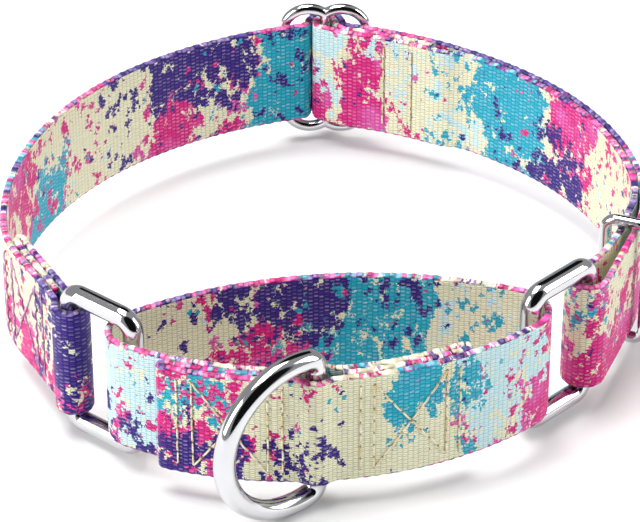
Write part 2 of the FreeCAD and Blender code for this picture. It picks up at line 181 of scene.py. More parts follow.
slide_bar = plan(APEX_X, SLIDE_Y)
left_back = plan(APEX_X + BACK_OFFSET, BACK_Y)
right_back = plan(APEX_X - BACK_OFFSET, BACK_Y)
left_eye = plan(-49.1, -36.1)
right_eye = plan(53.8, -26.6)
left_shoulder_centre = polar(left_back, BACK - LEFT_SHOULDER, LEFT_SHOULDER_ANGLE)
seam_out = plan(math.sin(SEAM_TURN), -math.cos(SEAM_TURN))
seam_in = plan(-seam_out[1], seam_out[0])


def on_seam(back_from_eye, depth):
    """A point on the sewn ring end's ply 0 (outside), 1 or 2, this far back from the bar."""
    return left_eye - seam_out * back_from_eye + seam_in * PITCH * (depth - 1)


to_line = on_seam(0, 0) + seam_in * LEFT_TURN - left_shoulder_centre
across_line = to_line - seam_out * to_line.dot(seam_out)
turn_reach = math.sqrt((LEFT_SHOULDER - LEFT_TURN) ** 2 - length(across_line) ** 2)
left_turn_centre = left_shoulder_centre + across_line - seam_out * turn_reach
hem_centre = polar(left_turn_centre, LEFT_TURN - 1.5 * PITCH, HEM_ANGLE)
fillet_back = math.sqrt((EYE + NECK_FILLET) ** 2 - (NECK_FILLET + PITCH) ** 2)
fillet_inside = left_eye - seam_out * fillet_back + seam_in * (NECK_FILLET + PITCH)
fillet_outside = left_eye - seam_out * fillet_back - seam_in * (NECK_FILLET + PITCH)

weave_left = meet(left_back, BACK + WEAVE_TURN, slide_bar, WEAVE_TURN + CREST, LEFT)
weave_right = meet(right_back, BACK + WEAVE_TURN, slide_bar, WEAVE_TURN + CREST, RIGHT)

right_shoulder_centre = polar(right_back, BACK - RIGHT_SHOULDER, RIGHT_SHOULDER_ANGLE)
right_turn_centre = polar(right_shoulder_centre, RIGHT_SHOULDER - RIGHT_TURN, RIGHT_TURN_ANGLE)
loose_centre = polar(right_eye, LOOSE_OFFSET, LOOSE_ANGLE)
eye_inside = meet(right_turn_centre, INNER_CIRCLE - EYE_FILLET,
                  loose_centre, LOOSE_EYE + EYE_FILLET, LEFT)
spread_start = polar(right_turn_centre, INNER_CIRCLE + SPREAD_TURN, SPREAD_ANGLE)
spread_end = meet(right_turn_centre, NESTED_CIRCLE - SPREAD_TURN,
                  spread_start, 2 * SPREAD_TURN, LEFT)
apex_angle = angle_of(right_back, slide_bar)
tail_angle = apex_angle - math.degrees(TAIL_LENGTH / BACK)
step_start = polar(right_back, BACK - PITCH - STEP_TURN, tail_angle - STEP_ANGLE)
step_end = meet(right_back, BACK - 2 * PITCH + STEP_TURN, step_start, 2 * STEP_TURN, LEFT)

NECK_PEGS = [
    (on_seam(SEAM_START, 1), 0.0, LEFT),
    (left_turn_centre, LEFT_TURN - PITCH, RIGHT),
    (hem_centre, FOLD, RIGHT),
    (left_turn_centre, LEFT_TURN - 2 * PITCH, LEFT),
    (fillet_inside, NECK_FILLET, LEFT),
    (left_eye, EYE, RIGHT),
    (fillet_outside, NECK_FILLET, LEFT),
    (left_turn_centre, LEFT_TURN, RIGHT),
    (left_shoulder_centre, LEFT_SHOULDER, RIGHT),
    (left_back, BACK, RIGHT),
    (weave_left, WEAVE_TURN, LEFT),
    (slide_bar, CREST, RIGHT),
    (weave_right, WEAVE_TURN, LEFT),
    (right_back, BACK, RIGHT),
    (right_shoulder_centre, RIGHT_SHOULDER, RIGHT),
    (right_turn_centre, RIGHT_TURN, RIGHT),
    (loose_centre, LOOSE_EYE, RIGHT),
    (eye_inside, EYE_FILLET, LEFT),
    (right_turn_centre, INNER_CIRCLE, LEFT),
    (spread_start, SPREAD_TURN, RIGHT),
    (spread_end, SPREAD_TURN, LEFT),
    (right_turn_centre, NESTED_CIRCLE, LEFT),
    (right_shoulder_centre, RIGHT_SHOULDER - PITCH, LEFT),
    (right_back, BACK - PITCH, LEFT),
    (step_start, STEP_TURN, LEFT),
    (step_end, STEP_TURN, RIGHT),
    (right_back, BACK - 2 * PITCH, LEFT),
    (weave_right, WEAVE_TURN + 2 * PITCH, RIGHT),
    (slide_bar, WRAP, RIGHT),
    (weave_right, WEAVE_TURN + PITCH, LEFT),
    (right_back, BACK - PITCH, RIGHT),
    (polar(right_back, BACK - PITCH, tail_angle), 0.0, LEFT),
]

# The control loop: its front, a gentler arch behind it, a round turn at each end through
# a ring, and a pocket in the front for the D-ring's bar.
LEASH_RING_WIRE = 4.4
LEFT_ROUND = 5.8
RIGHT_ROUND = 6.8
FRONT = 69.9
OUTER_FRONT = FRONT + 2 * PITCH
ARCH = 89.8
D_BAR_ANGLE = 274.0
POCKET = LEASH_RING_WIRE / 2 + SLACK + HALF
POCKET_FILLET = 5.0
LEFT_HEM = 250.2            # where the two hems fold and the two tails end, round the front
LEFT_TAIL = 270.4
RIGHT_TAIL = 278.2
RIGHT_HEM = 298.6

left_tip = plan(-35.4, -44.5)
right_tip = plan(38.7, -37.5)
front_centre = meet(left_tip, FRONT - LEFT_ROUND, right_tip, OUTER_FRONT - RIGHT_ROUND, LEFT)
arch_centre = meet(left_tip, ARCH - LEFT_ROUND, right_tip, ARCH - RIGHT_ROUND, RIGHT)
d_bar = polar(front_centre, FRONT + PITCH, D_BAR_ANGLE)


def pocket_fillet(circle, sign, side):
    return meet(front_centre, circle + sign * POCKET_FILLET, d_bar, POCKET + POCKET_FILLET, side)


LOOP_PEGS = [
    (polar(front_centre, FRONT + PITCH, LEFT_TAIL), 0.0, LEFT),
    (front_centre, FRONT + PITCH, RIGHT),
    (polar(front_centre, FRONT + 1.5 * PITCH, LEFT_HEM), FOLD, LEFT),
    (front_centre, OUTER_FRONT, LEFT),
    (pocket_fillet(OUTER_FRONT, 1, RIGHT), POCKET_FILLET, RIGHT),
    (d_bar, POCKET, LEFT),
    (pocket_fillet(OUTER_FRONT, 1, LEFT), POCKET_FILLET, RIGHT),
    (front_centre, OUTER_FRONT, LEFT),
    (right_tip, RIGHT_ROUND, LEFT),
    (arch_centre, ARCH, LEFT),
    (left_tip, LEFT_ROUND, LEFT),
    (front_centre, FRONT, LEFT),
    (pocket_fillet(FRONT, -1, RIGHT), POCKET_FILLET, LEFT),
    (d_bar, POCKET, RIGHT),
    (pocket_fillet(FRONT, -1, LEFT), POCKET_FILLET, LEFT),
    (front_centre, FRONT, LEFT),
    (polar(front_centre, FRONT + 0.5 * PITCH, RIGHT_HEM), FOLD, RIGHT),
    (front_centre, FRONT + PITCH, RIGHT),
    (polar(front_centre, FRONT + PITCH, RIGHT_TAIL), 0.0, LEFT),
]


# ---------------------------------------------------------------- seams
# Each row of stitches runs between two (along, height) places on a face. Along is degrees
# round the front on the control loop, millimetres back from the ring's bar on the ring end,
# and degrees from the apex on the adjuster end.

SEAM_TOP = 10.2
STITCH_PITCH = 3.1


def box_rows(edges, cross):
    """Rows straight across at the edges, and a cross between the two places in cross."""
    rows = [((edge, -SEAM_TOP), (edge, SEAM_TOP)) for edge in edges]
    rows.append(((cross[0], -SEAM_TOP), (cross[1], SEAM_TOP)))
    rows.append(((cross[0], SEAM_TOP), (cross[1], -SEAM_TOP)))
    return rows


LEFT_BOX = box_rows([252.6, 255.0, 266.6, 268.8], (255.0, 266.6))
RIGHT_BOX = box_rows([280.6, 282.7, 294.4, 296.6], (282.7, 294.4))
RING_BOX = box_rows([9.0, 12.0, 23.5, 26.5], (12.0, 23.5))
ADJUSTER_ROWS = [((along, -SEAM_TOP), (along, SEAM_TOP)) for along in (9.7, 14.2)]


# A face gives, for a place along it, the point there and the direction out of it.
def front_face(radius, outward):
    return lambda along: (polar(front_centre, radius, along),
                          polar(plan(0, 0), outward, along))


def seam_face(depth, outward):
    return lambda along: (on_seam(along, depth) + seam_in * outward * HALF, seam_in * outward)


def tail_face(radius, outward):
    return lambda along: (polar(right_back, radius, apex_angle - along),
                          polar(plan(0, 0), outward, apex_angle - along))


SEAMS = {
    "left_box_needle_thread": (front_face(OUTER_FRONT + HALF, 1), LEFT_BOX),
    "left_box_bobbin_thread": (front_face(FRONT - HALF, -1), LEFT_BOX),
    "right_box_needle_thread": (front_face(OUTER_FRONT + HALF, 1), RIGHT_BOX),
    "right_box_bobbin_thread": (front_face(FRONT - HALF, -1), RIGHT_BOX),
    "ring_end_needle_thread": (seam_face(0, -1), RING_BOX),
    "ring_end_bobbin_thread": (seam_face(2, 1), RING_BOX),
    "adjuster_end_needle_thread": (tail_face(BACK - 2 * PITCH - HALF, -1), ADJUSTER_ROWS),
    "adjuster_end_bobbin_thread": (tail_face(BACK - PITCH + HALF, 1), ADJUSTER_ROWS),
}


def on_face(face, along, height, lift):
    """A point this far off a face, in the row frame."""
    point, outward = face(along)
    place = point + outward * lift + SHIFT
    return np.array([place[0], place[1], STRAP_Z + height])


def seam_lines(names):
    """The two ends of every row of stitches in these seams."""
    lines = []
    for name in names:
        face, rows = SEAMS[name]
        for start, end in rows:
            lines.append((on_face(face, *start, 0), on_face(face, *end, 0)))
    return lines


# ---------------------------------------------------------------- webbing meshes

RIB = 1.1                   # from one crosswise rib to the next
WARP = 0.46                 # from one warp yarn to the next
STEP = RIB / 5              # between two rings of points along a strap
RIB_RELIEF = 0.045
RIB_MIDDLE = 0.6            # the height of a rib's profile, 0 to 1, that lies on the face
ACROSS = 26                 # faces across a flat side
EDGE_ARC = 4                # faces round an edge
EDGE_BULGE = HALF * 0.8
EDGE_RELIEF = 0.5           # an edge's share of the rib relief
EDGE_SCALLOP = 0.09
PUCKER = 0.2                # how far a seam draws the face in
PUCKER_REACH = 1.1
PUCKER_SHARE = 0.7          # of it on average along a row; it is greatest at the needle holes
RIGHT_FACE = 0
LEFT_FACE = 1
SELVEDGE = 2


def put_in_scene(name, data):
    """An object that carries this mesh, lamp or camera, linked into the scene."""
    thing = bpy.data.objects.new(name, data)
    bpy.context.scene.collection.objects.link(thing)
    return thing


def smooth_mesh(name, verts, faces, values, materials):
    """A smooth mesh in metres, with the values at its points that its materials read."""
    mesh = bpy.data.meshes.new(name)
    mesh.from_pydata(verts, [], faces)
    for key, numbers in values.items():
        layer = mesh.attributes.new(key, "FLOAT", "POINT")
        layer.data.foreach_set("value", np.array(numbers, np.float32))
    for material in materials:
        mesh.materials.append(material)
    mesh.polygons.foreach_set("use_smooth", np.ones(len(faces), bool))
    return mesh


def section():
    """Once round a strap: (height, offset to the right, share of the rib relief)."""
    flat = WIDTH / 2 - EDGE_BULGE
    rows = []
    for sign in (1, -1):
        for number in range(ACROSS + 1):
            rows.append((sign * (-flat + 2 * flat * number / ACROSS), sign * HALF, 1.0))
        for number in range(1, EDGE_ARC):
            turn = math.pi * number / EDGE_ARC
            rows.append((sign * (flat + EDGE_BULGE * math.sin(turn)),
                         sign * HALF * math.cos(turn), EDGE_RELIEF))
    return np.array(rows)


def pucker(verts, seams):
    """How far each point is drawn in by the stitches near it."""
    pull = np.zeros(len(verts))
    for start, end in seam_lines(seams):
        line = end - start
        size = np.linalg.norm(line)
        share = np.clip((verts - start) @ line / size ** 2, 0, 1)
        away = np.linalg.norm(verts - (start + share[:, None] * line), axis=1)
        holes = np.cos(2 * math.pi * share * round(size / STITCH_PITCH))
        beat = PUCKER_SHARE + (1 - PUCKER_SHARE) * holes
        pull = np.maximum(pull, PUCKER * beat * np.exp(-(away / PUCKER_REACH) ** 2))
    return pull


def webbing_piece(name, pegs, seams, materials):
    """A strap: the section carried along the middle line, ribbed, and puckered at its seams."""
    points, sides, along = middle_line(pegs, STEP)
    rows = section()
    count = len(points)
    ring = len(rows)
    height = np.tile(rows[:, 0], count)
    offset = np.tile(rows[:, 1], count)
    relief = np.tile(rows[:, 2], count)
    run = np.repeat(along, ring)
    side = np.repeat(sides, ring, axis=0)
    base = np.repeat(points, ring, axis=0)

    rib = np.abs(np.sin(math.pi * run / RIB)) - RIB_MIDDLE
    offset = offset + np.sign(offset) * RIB_RELIEF * relief * rib
    scallop = np.where(relief < 1, EDGE_SCALLOP * np.sin(math.pi * run / RIB), 0.0)
    height = height + np.sign(height) * scallop
    verts = np.empty((count * ring, 3))
    verts[:, :2] = base + side * offset[:, None]
    verts[:, 2] = STRAP_Z + height
    drawn_in = np.sign(offset) * pucker(verts, seams)
    verts[:, :2] -= side * drawn_in[:, None]

    first = np.arange(count - 1)[:, None] * ring
    here = np.arange(ring)[None, :]
    onward = (here + 1) % ring
    corners = [first + here, first + onward, first + ring + onward, first + ring + here]
    faces = np.stack(corners, -1).reshape(-1, 4).tolist()
    faces.append(list(range(ring - 1, -1, -1)))
    faces.append([(count - 1) * ring + number for number in range(ring)])
    bands = np.full(ring, SELVEDGE)
    bands[:ACROSS] = RIGHT_FACE
    bands[ACROSS + EDGE_ARC:2 * ACROSS + EDGE_ARC] = LEFT_FACE
    cut_ends = [SELVEDGE, SELVEDGE]
    index = np.concatenate([np.tile(bands, count - 1), cut_ends]).astype(np.int32)

    values = {"along": run * MM, "across": height * MM}
    mesh = smooth_mesh(name, (verts * MM).tolist(), faces, values, materials)
    mesh.polygons.foreach_set("material_index", index)
    mesh.update()
    return put_in_scene(name, mesh)


# ---------------------------------------------------------------- stitches

THREAD_RADIUS = 0.21
THREAD_SIDES = 8
THREAD_RINGS = 9            # rings of points along one stitch
WOBBLE = 0.12               # how far the middle of a stitch may stray
WOBBLE_IN_X = 0.7           # the sideways part of it
STITCH_START = 0.04         # shares of the pitch, so that two stitches don't touch
STITCH_SPAN = 0.92
STITCH_SUNK = -0.30         # the ends lie this far below the face
STITCH_RISE = 0.42
STITCH_POWER = 0.55         # below 1, the arch is steep at its ends and flat on top


def stitch_path(face, start, end, number, count, wobble):
    """A stitch's middle line: up out of the webbing, over, and down into it again."""
    path = []
    for step in range(THREAD_RINGS):
        part = step / (THREAD_RINGS - 1)
        share = (number + STITCH_START + STITCH_SPAN * part) / count
        lift = STITCH_SUNK + STITCH_RISE * math.sin(math.pi * part) ** STITCH_POWER
        sway = wobble * math.sin(math.pi * part)
        along, height = [start[axis] + (end[axis] - start[axis]) * share for axis in (0, 1)]
        centre = on_face(face, along, height, lift)
        path.append(centre + np.array([sway * WOBBLE_IN_X, 0, sway]))
    return path


def thread_ring(path, step, outward):
    """From a stitch's middle line out to the points round it, at one step of its path."""
    ahead = Vector(path[min(step + 1, THREAD_RINGS - 1)] - path[max(step - 1, 0)]).normalized()
    beside = ahead.cross(Vector((outward[0], outward[1], 0))).normalized()
    out = beside.cross(ahead).normalized()
    reaches = []
    for turn in range(THREAD_SIDES):
        angle = math.tau * turn / THREAD_SIDES
        reaches.append(THREAD_RADIUS * (beside * math.cos(angle) + out * math.sin(angle)))
    return reaches


def stitch_faces(base):
    """The faces of one stitch whose first point has the number base."""
    faces = []
    for step in range(THREAD_RINGS - 1):
        low = base + step * THREAD_SIDES
        high = low + THREAD_SIDES
        for turn in range(THREAD_SIDES):
            other = (turn + 1) % THREAD_SIDES
            faces.append((low + turn, low + other, high + other, high + turn))
    top = base + (THREAD_RINGS - 1) * THREAD_SIDES
    faces.append(tuple(base + turn for turn in reversed(range(THREAD_SIDES))))
    faces.append(tuple(top + turn for turn in range(THREAD_SIDES)))
    return faces


def thread_piece(name, material):
    """A seam's stitches: each a short arched thread whose ends sink into the webbing."""
    face, rows = SEAMS[name]
    chance = random.Random(name)
    verts = []
    faces = []
    travel = []
    for start, end in rows:
        size = np.linalg.norm(on_face(face, *end, 0) - on_face(face, *start, 0))
        count = max(1, round(size / STITCH_PITCH))
        for number in range(count):
            wobble = chance.uniform(-WOBBLE, WOBBLE)
            path = stitch_path(face, start, end, number, count, wobble)
            _, outward = face(start[0] + (end[0] - start[0]) * number / count)
            faces += stitch_faces(len(verts))
            for step in range(THREAD_RINGS):
                for reach in thread_ring(path, step, outward):
                    verts.append((Vector(path[step]) + reach) * MM)
                    travel.append(step / (THREAD_RINGS - 1) * STITCH_PITCH * MM)
    mesh = smooth_mesh(name + "_sewn", verts, faces, {"travel": travel}, [material])
    return put_in_scene(name + "_sewn", mesh)


# ---------------------------------------------------------------- shader nodes

class Nodes:
    """A node tree's nodes, added and joined by short calls."""

    def __init__(self, tree):
        self.tree = tree

    def put(self, socket, value):
        """Joins or sets an input. None leaves it as it is."""
        if isinstance(value, bpy.types.NodeSocket):
            self.tree.links.new(value, socket)
        elif value is not None:
            socket.default_value = value

    def add(self, kind, **inputs):
        node = self.tree.nodes.new(kind)
        for key, value in inputs.items():
            self.put(node.inputs[key], value)
        return node

    def math(self, operation, first, second=None):
        node = self.tree.nodes.new("ShaderNodeMath")
        node.operation = operation
        self.put(node.inputs[0], first)
        self.put(node.inputs[1], second)
        return node.outputs[0]

    def plus(self, first, second):
        return self.math("ADD", first, second)

    def minus(self, first, second):
        return self.math("SUBTRACT", first, second)

    def times(self, first, second):
        return self.math("MULTIPLY", first, second)

    def over(self, first, second):
        return self.math("DIVIDE", first, second)

    def vector_math(self, operation, first, second=None):
        node = self.tree.nodes.new("ShaderNodeVectorMath")
        node.operation = operation
        self.put(node.inputs[0], first)
        self.put(node.inputs[1], second)
        return node

    def point(self, x, y, z=0.0):
        return self.add("ShaderNodeCombineXYZ", X=x, Y=y, Z=z).outputs[0]

    def noise(self, where, scale, detail, roughness):
        node = self.add("ShaderNodeTexNoise", Vector=where, Scale=scale, Detail=detail,
                        Roughness=roughness)
        return node.outputs["Fac"]

    def spread(self, value, low, high, to_low=0.0, to_high=1.0):
        """A value between low and high as one between to_low and to_high, kept inside them."""
        node = self.tree.nodes.new("ShaderNodeMapRange")
        for socket, given in zip(node.inputs, (value, low, high, to_low, to_high)):
            self.put(socket, given)
        return node.outputs[0]

    def parts(self, colour):
        """A colour's red, green and blue."""
        node = self.tree.nodes.new("ShaderNodeSeparateColor")
        self.put(node.inputs[0], colour)
        return node.outputs

    def mix(self, share, first, second, blend="MIX"):
        node = self.tree.nodes.new("ShaderNodeMix")
        node.data_type = "RGBA"
        node.blend_type = blend
        self.put(node.inputs[0], share)
        self.put(node.inputs[6], first)
        self.put(node.inputs[7], second)
        return node.outputs[2]

    def darken(self, colour, shade):
        grey = self.add("ShaderNodeCombineColor", Red=shade, Green=shade, Blue=shade)
        return self.mix(1.0, colour, grey.outputs[0], "MULTIPLY")

    def ramp(self, where, stops, interpolation="LINEAR"):
        node = self.tree.nodes.new("ShaderNodeValToRGB")
        node.color_ramp.interpolation = interpolation
        self.put(node.inputs[0], where)
        elements = node.color_ramp.elements
        while len(elements) < len(stops):
            elements.new(1.0)
        for element, (place, colour) in zip(elements, stops):
            element.position = place
            element.color = colour
        return node.outputs[0]


class Material(Nodes):
    """A material with one Principled shader."""

    def __init__(self, name):
        self.material = bpy.data.materials.new(name)
        self.material.use_nodes = True
        super().__init__(self.material.node_tree)
        self.shader = self.tree.nodes["Principled BSDF"]

    def attribute(self, name):
        node = self.tree.nodes.new("ShaderNodeAttribute")
        node.attribute_name = name
        return node.outputs["Fac"]

    def place(self):
        return self.add("ShaderNodeTexCoord").outputs["Object"]

    def look(self, key, value):
        self.put(self.shader.inputs[key], value)

    def bump(self, height, strength, distance):
        node = self.add("ShaderNodeBump", Height=height, Strength=strength, Distance=distance)
        self.look("Normal", node.outputs["Normal"])


def linear(red, green, blue):
    """A colour given as it looks on screen, 0 to 255, as the shader takes it."""
    values = []
    for part in (red, green, blue):
        part = part / 255
        values.append(part / 12.92 if part <= 0.04045 else ((part + 0.055) / 1.055) ** 2.4)
    return (*values, 1.0)


# ---------------------------------------------------------------- printed webbing

CREAM = linear(242, 241, 206)
ICE = linear(206, 242, 246)
TURQUOISE = linear(0, 176, 204)
MAGENTA = linear(224, 0, 130)
PURPLE = linear(44, 0, 128)
ORCHID = linear(238, 110, 200)
LILAC = linear(232, 196, 230)
# the near white that the painted glints (painted highlights) on the floats mix towards
PAINTED_GLINT_WHITE = linear(252, 240, 250)

# Each paint's colour, its shift in the random field, and how fine its ragged edge is.
PAINTS = {
    "ice": (ICE, 11.0, 120.0),
    "turquoise": (TURQUOISE, 23.0, 190.0),
    "magenta": (MAGENTA, 37.0, 180.0),
    "purple": (PURPLE, 51.0, 200.0),
}
# The edge yarns take up more of the dark paints.
EDGE_PAINT = {"ice": -0.3, "turquoise": 0.05, "magenta": 0.46, "purple": 0.36}

# Where each paint lies on a face, from its start to its end in millimetres along the
# strap, and how much of it there is at the bottom edge and at the top edge (0 to 1).
# Cream shows where no paint does.
NECK_OUTER = {
    "ice": [(206, 241, 0.5, 0.2), (462, 476, 0.5, 0.5), (479, 494, 0.5, 0.6), (494, 523, 0.5, 1.1)],
    "turquoise": [(100, 131, 0.3, 0.8), (241, 266, 0.9, 0.3), (301, 321, 0.3, 0.5), (349, 365, 0.3, 0.5),
                  (375, 395, 0.4, 0.5), (443, 463, 1.0, 1.15), (463, 476, 0.42, 0.36)],
    "magenta": [(20, 102, 0.85, 0.25), (141, 171, 0.75, 0.5), (191, 305, 0.6, 0.8),
                (319, 371, 1.0, 0.42), (399, 423, 0.36, 0.4), (423, 443, 0.6, 1.0), (443, 455, 0.3, 0.2),
                (475, 484, 0.4, 0.25), (484, 496, 1.1, 0.66), (496, 523, 0.95, 0.25)],
    "purple": [(36, 61, 0.8, 1.1), (61, 72, 0.45, 0.55), (151, 191, 0.4, 0.85), (206, 222, 0.3, 1.0),
               (238, 300, 0.4, 0.9), (383, 403, 0.6, 0.4), (429, 448, 0.95, 0.2), (448, 459, 0.55, 0.1)],
}
NECK_INNER = {
    "ice": [(226, 261, 0.4, 0.6), (383, 423, 0.5, 0.7)],
    "turquoise": [(20, 45, 0.5, 0.6), (118, 137, 1.1, 0.2), (177, 190, 0.55, 0.4), (190, 225, 1.15, 1.0),
                  (301, 331, 0.7, 0.6), (463, 503, 0.6, 0.8)],
    "magenta": [(0, 30, 0.6, 0.3), (60, 98, 0.7, 0.5), (98, 122, 0.6, 1.0), (122, 150, 0.34, 0.34),
                (162, 178, 1.05, 0.42), (178, 191, 0.75, 0.45), (241, 291, 0.6, 0.4), (343, 383, 0.7, 0.4),
                (423, 458, 0.5, 0.7)],
    "purple": [(60, 90, 0.3, 0.7), (150, 162, 0.22, 0.58), (162, 190, 0.25, 1.15), (190, 203, 0.2, 0.52),
               (271, 301, 0.7, 0.3), (443, 473, 0.6, 0.3)],
}
LOOP_OUTER = {
    "ice": [(89, 117, 0.75, 1.0), (198, 234, 1.05, 1.1), (234, 272, 0.5, 0.6)],
    "turquoise": [(0, 43, 0.12, 0.85), (74, 84, 0.15, 1.1), (84, 92, 0.5, 0.85), (138, 170, 0.4, 0.8),
                  (250, 290, 0.5, 0.4)],
    "magenta": [(18, 46, 0.8, 0.62), (46, 54, 0.62, 0.52), (54, 60, 0.36, 0.34), (84, 95, 0.42, 0.15),
                (95, 102, 0.7, 0.35), (102, 125, 1.0, 0.55), (160, 200, 0.7, 0.5), (208, 234, 0.55, 0.22)],
    "purple": [(18, 45, 0.85, 0.1), (45, 62, 0.6, -0.3), (180, 202, 0.5, 0.3), (206, 222, 0.55, -0.1)],
}
LOOP_INNER = {
    "ice": [(117, 140, 0.3, 0.45), (240, 272, 0.5, 0.6)],
    "turquoise": [(49, 79, 0.6, 0.5), (122, 137, 0.35, 0.42), (137, 167, 0.97, 0.9), (167, 174, 0.4, 0.4),
                  (272, 300, 0.6, 0.6)],
    "magenta": [(0, 49, 0.6, 0.5), (79, 117, 0.8, 0.6), (163, 187, 0.95, 0.42), (210, 260, 0.6, 0.4)],
    "purple": [(29, 69, 0.4, 0.7), (136, 156, 0.2, 0.42), (156, 184, 0.35, 0.95), (184, 197, 0.15, 0.42),
               (280, 305, 0.3, 0.6)],
}
PATCH_EDGE = 2.0            # half the length over which a patch begins or ends
RAMP_PATCHES = 7            # a colour ramp has room for the stops of this many
NECK_LENGTH = middle_line(NECK_PEGS, STEP)[2][-1]
LOOP_LENGTH = middle_line(LOOP_PEGS, STEP)[2][-1]

RIB_POWER = 0.22            # below 1, a rib is flat on top with a narrow groove
WARP_POWER = 0.8
PAINTED_GLINT_MOST = 0.3                 # the most painted glint, a painted highlight mixed into the colour, that a float takes
FINE = 900.0                # noise as fine as the yarns
RIB_SLIP = 1.3 * MM         # how far a rib may carry the paint up or down
WARP_DRIFT = 0.2 * MM       # how far a warp yarn may carry it along
WARP_BEAT = 2.4             # radians of that drift from one yarn to the next
LEAN = 0.8                  # paint spots are a little longer across than along
JAG = 0.0009                # how far the yarns break up the outline of a spot, metres
DROPS = 480.0               # droplets to the metre
STRAYS = 430.0
SPOT_REACH = 0.9            # where a spot has faded out, as a share of its cell
SPOT_LIMIT = 1.1            # the chance that a spot would need to reach that far
RAGGED_SHARE = 1.5          # what noise, droplets and specks add to a paint's amount
DROP_SHARE = 0.56
SPECK_SHARE = 0.34
WANDER = 14.0               # the range over which a patch's ends wander along the strap
WAVE = 0.016                # and that of the middle between its two edges, metres
MIDDLE = 0.006              # half the height over which one edge's amount becomes the other's
TWIST_ALONG = 4.6 * MM      # an edge yarn's twist
TWIST_ACROSS = 1.3 * MM
RELIEF = 0.00018            # depth of the weave that the light sees


def patch_stops(patches, last):
    """Ramp stops for one paint: red holds its amount at the bottom edge, green at the top."""
    bare = (0.0, 0.0, 0.0, 1.0)
    stops = [(0.0, bare)]
    for start, end, bottom, top in patches:
        inside = (bottom, top, 0.0, 1.0)
        stops += [((start - PATCH_EDGE) / last, bare), ((start + PATCH_EDGE) / last, inside),
                  ((end - PATCH_EDGE) / last, inside), ((end + PATCH_EDGE) / last, bare)]
    return [(min(max(place, 0.0), 1.0), colour) for place, colour in stops]


